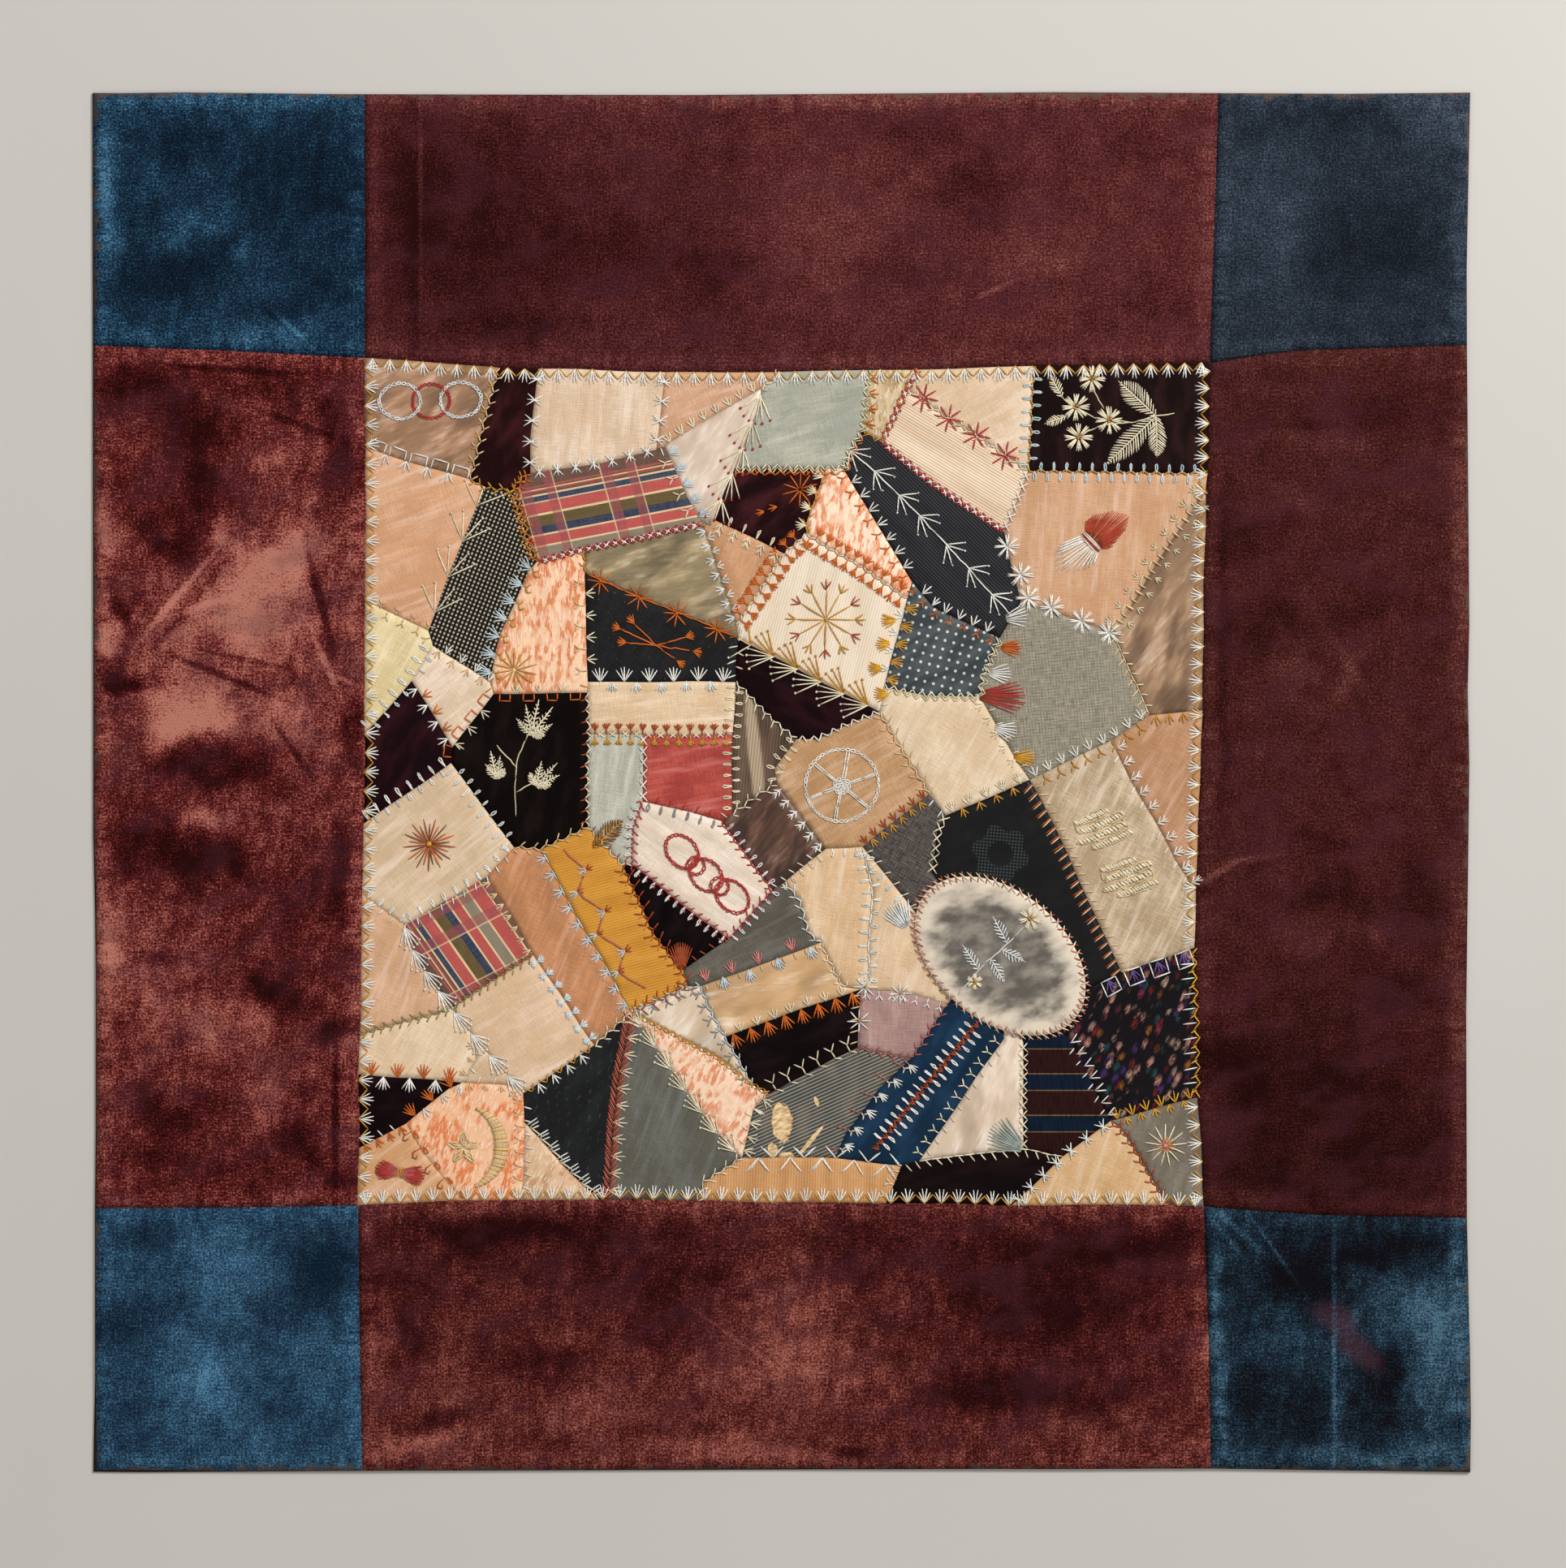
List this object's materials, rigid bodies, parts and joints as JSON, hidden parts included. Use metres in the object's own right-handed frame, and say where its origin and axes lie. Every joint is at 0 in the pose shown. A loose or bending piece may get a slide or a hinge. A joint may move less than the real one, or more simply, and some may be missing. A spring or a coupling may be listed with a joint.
{
  "type": "crazy quilt",
  "caption": "Square crazy quilt laid flat: irregular silk and velvet patches with embroidered seams, wide velvet border strips and velvet corner blocks.",
  "frame": {"origin": "under the middle of the quilt, on the surface that it rests on", "axes": "+Z out of the quilt's face, +Y towards its top edge, +X towards its right edge"},
  "size_m": [0.914, 0.9154, 0.0066],
  "materials": {
    "backing_cotton": "dark brown plain cotton",
    "pieced_silk": "silk, satin, ribbon, wool and velvet patches in cream, tan, peach, slate and black",
    "oval_silk": "cream satin with a soft grey printed sprig",
    "maroon_velvet": "worn maroon velvet with brushed nap",
    "blue_velvet": "worn blue velvet with brushed nap"
  },
  "bodies": {
    "root": {"backing": "backing_cotton", "centre_panel": "pieced_silk", "oval_patch": "oval_silk", "border_top": "maroon_velvet", "border_right": "maroon_velvet", "border_bottom": "maroon_velvet", "border_left": "maroon_velvet", "corner_top_left": "blue_velvet", "corner_top_right": "blue_velvet", "corner_bottom_right": "blue_velvet", "corner_bottom_left": "blue_velvet"}
  },
  "joints": []
}
